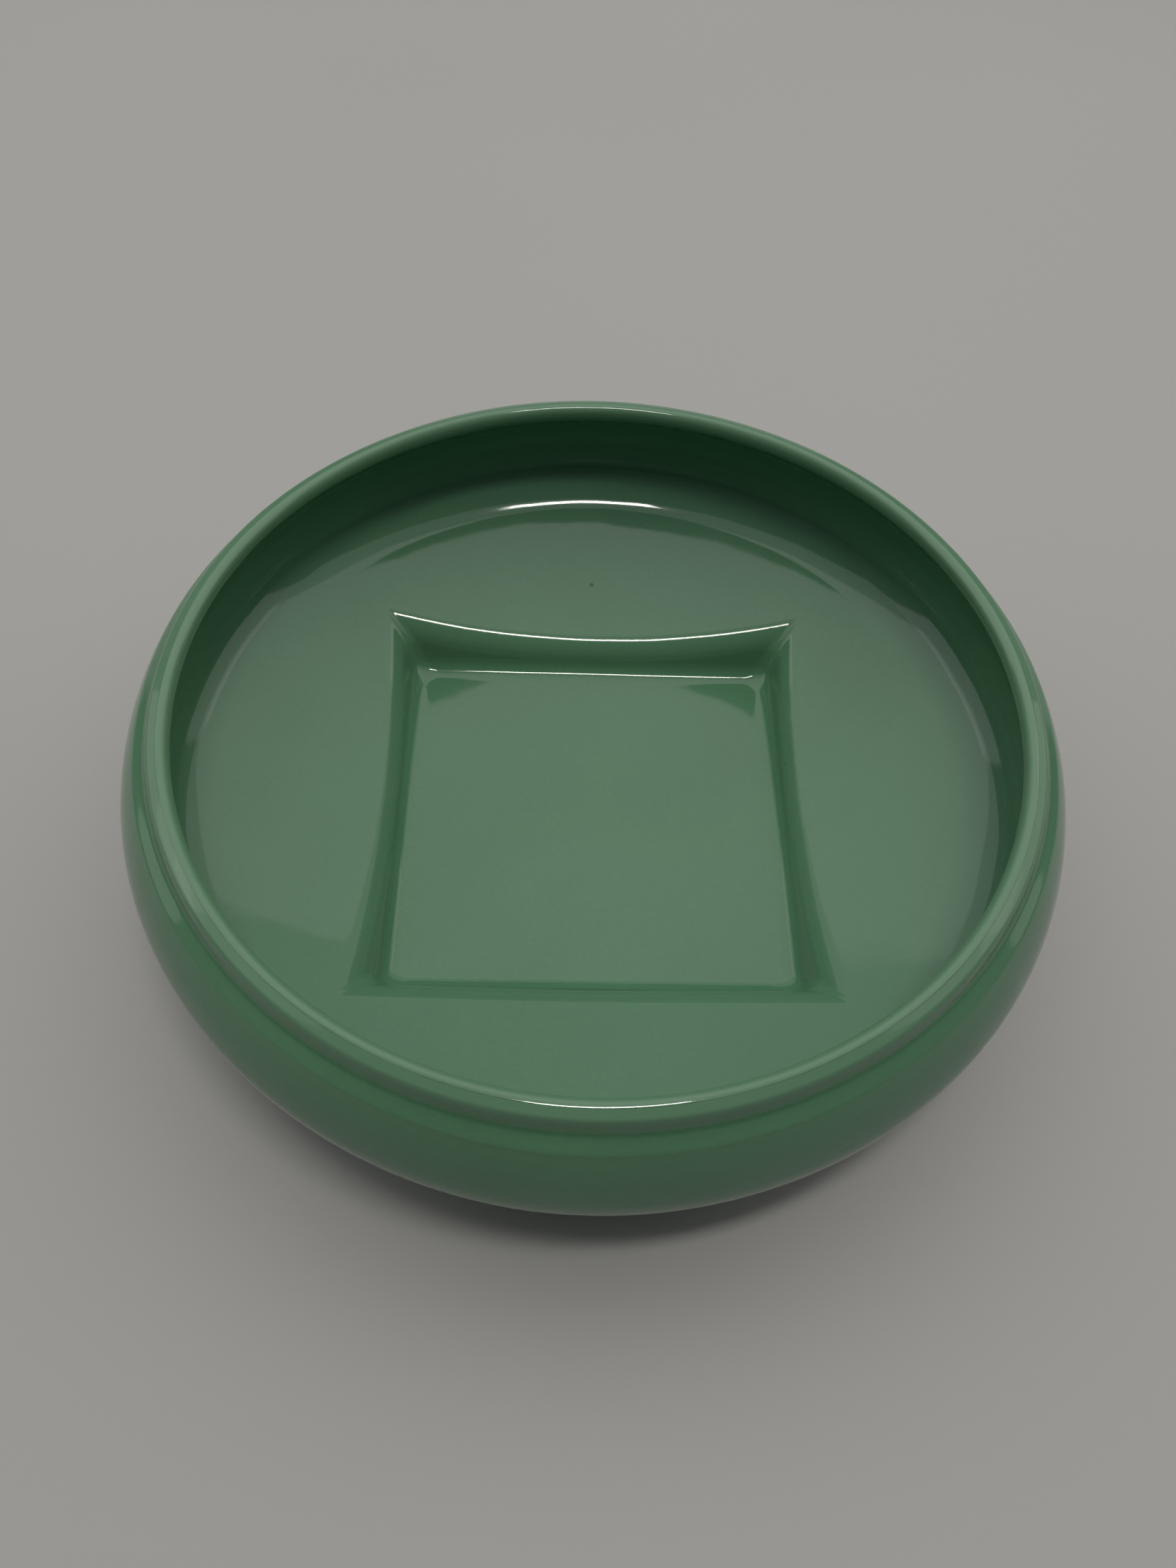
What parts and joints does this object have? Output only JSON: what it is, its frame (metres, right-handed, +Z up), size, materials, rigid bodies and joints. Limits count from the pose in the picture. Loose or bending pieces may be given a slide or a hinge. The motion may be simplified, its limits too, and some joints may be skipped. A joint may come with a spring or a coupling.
{
  "type": "low ceramic bowl",
  "caption": "Low round glazed bowl with a turned-in rolled rim, a shallow dished floor and a square sunk well in the middle, on a square foot.",
  "frame": {"origin": "centre of the square foot, on the surface that the bowl stands on", "axes": "+Z up through the mouth; X and Y square to the sides of the well and the foot"},
  "size_m": [0.2, 0.2, 0.058],
  "materials": {
    "fired_clay": "bare, matt, fine-grained",
    "green_glaze": "gloss sea-green glaze, paler where it thins over edges"
  },
  "bodies": {
    "root": {"clay_body": "fired_clay", "inside_glaze": "green_glaze", "outside_glaze": "green_glaze", "base_glaze": "green_glaze"}
  },
  "joints": []
}
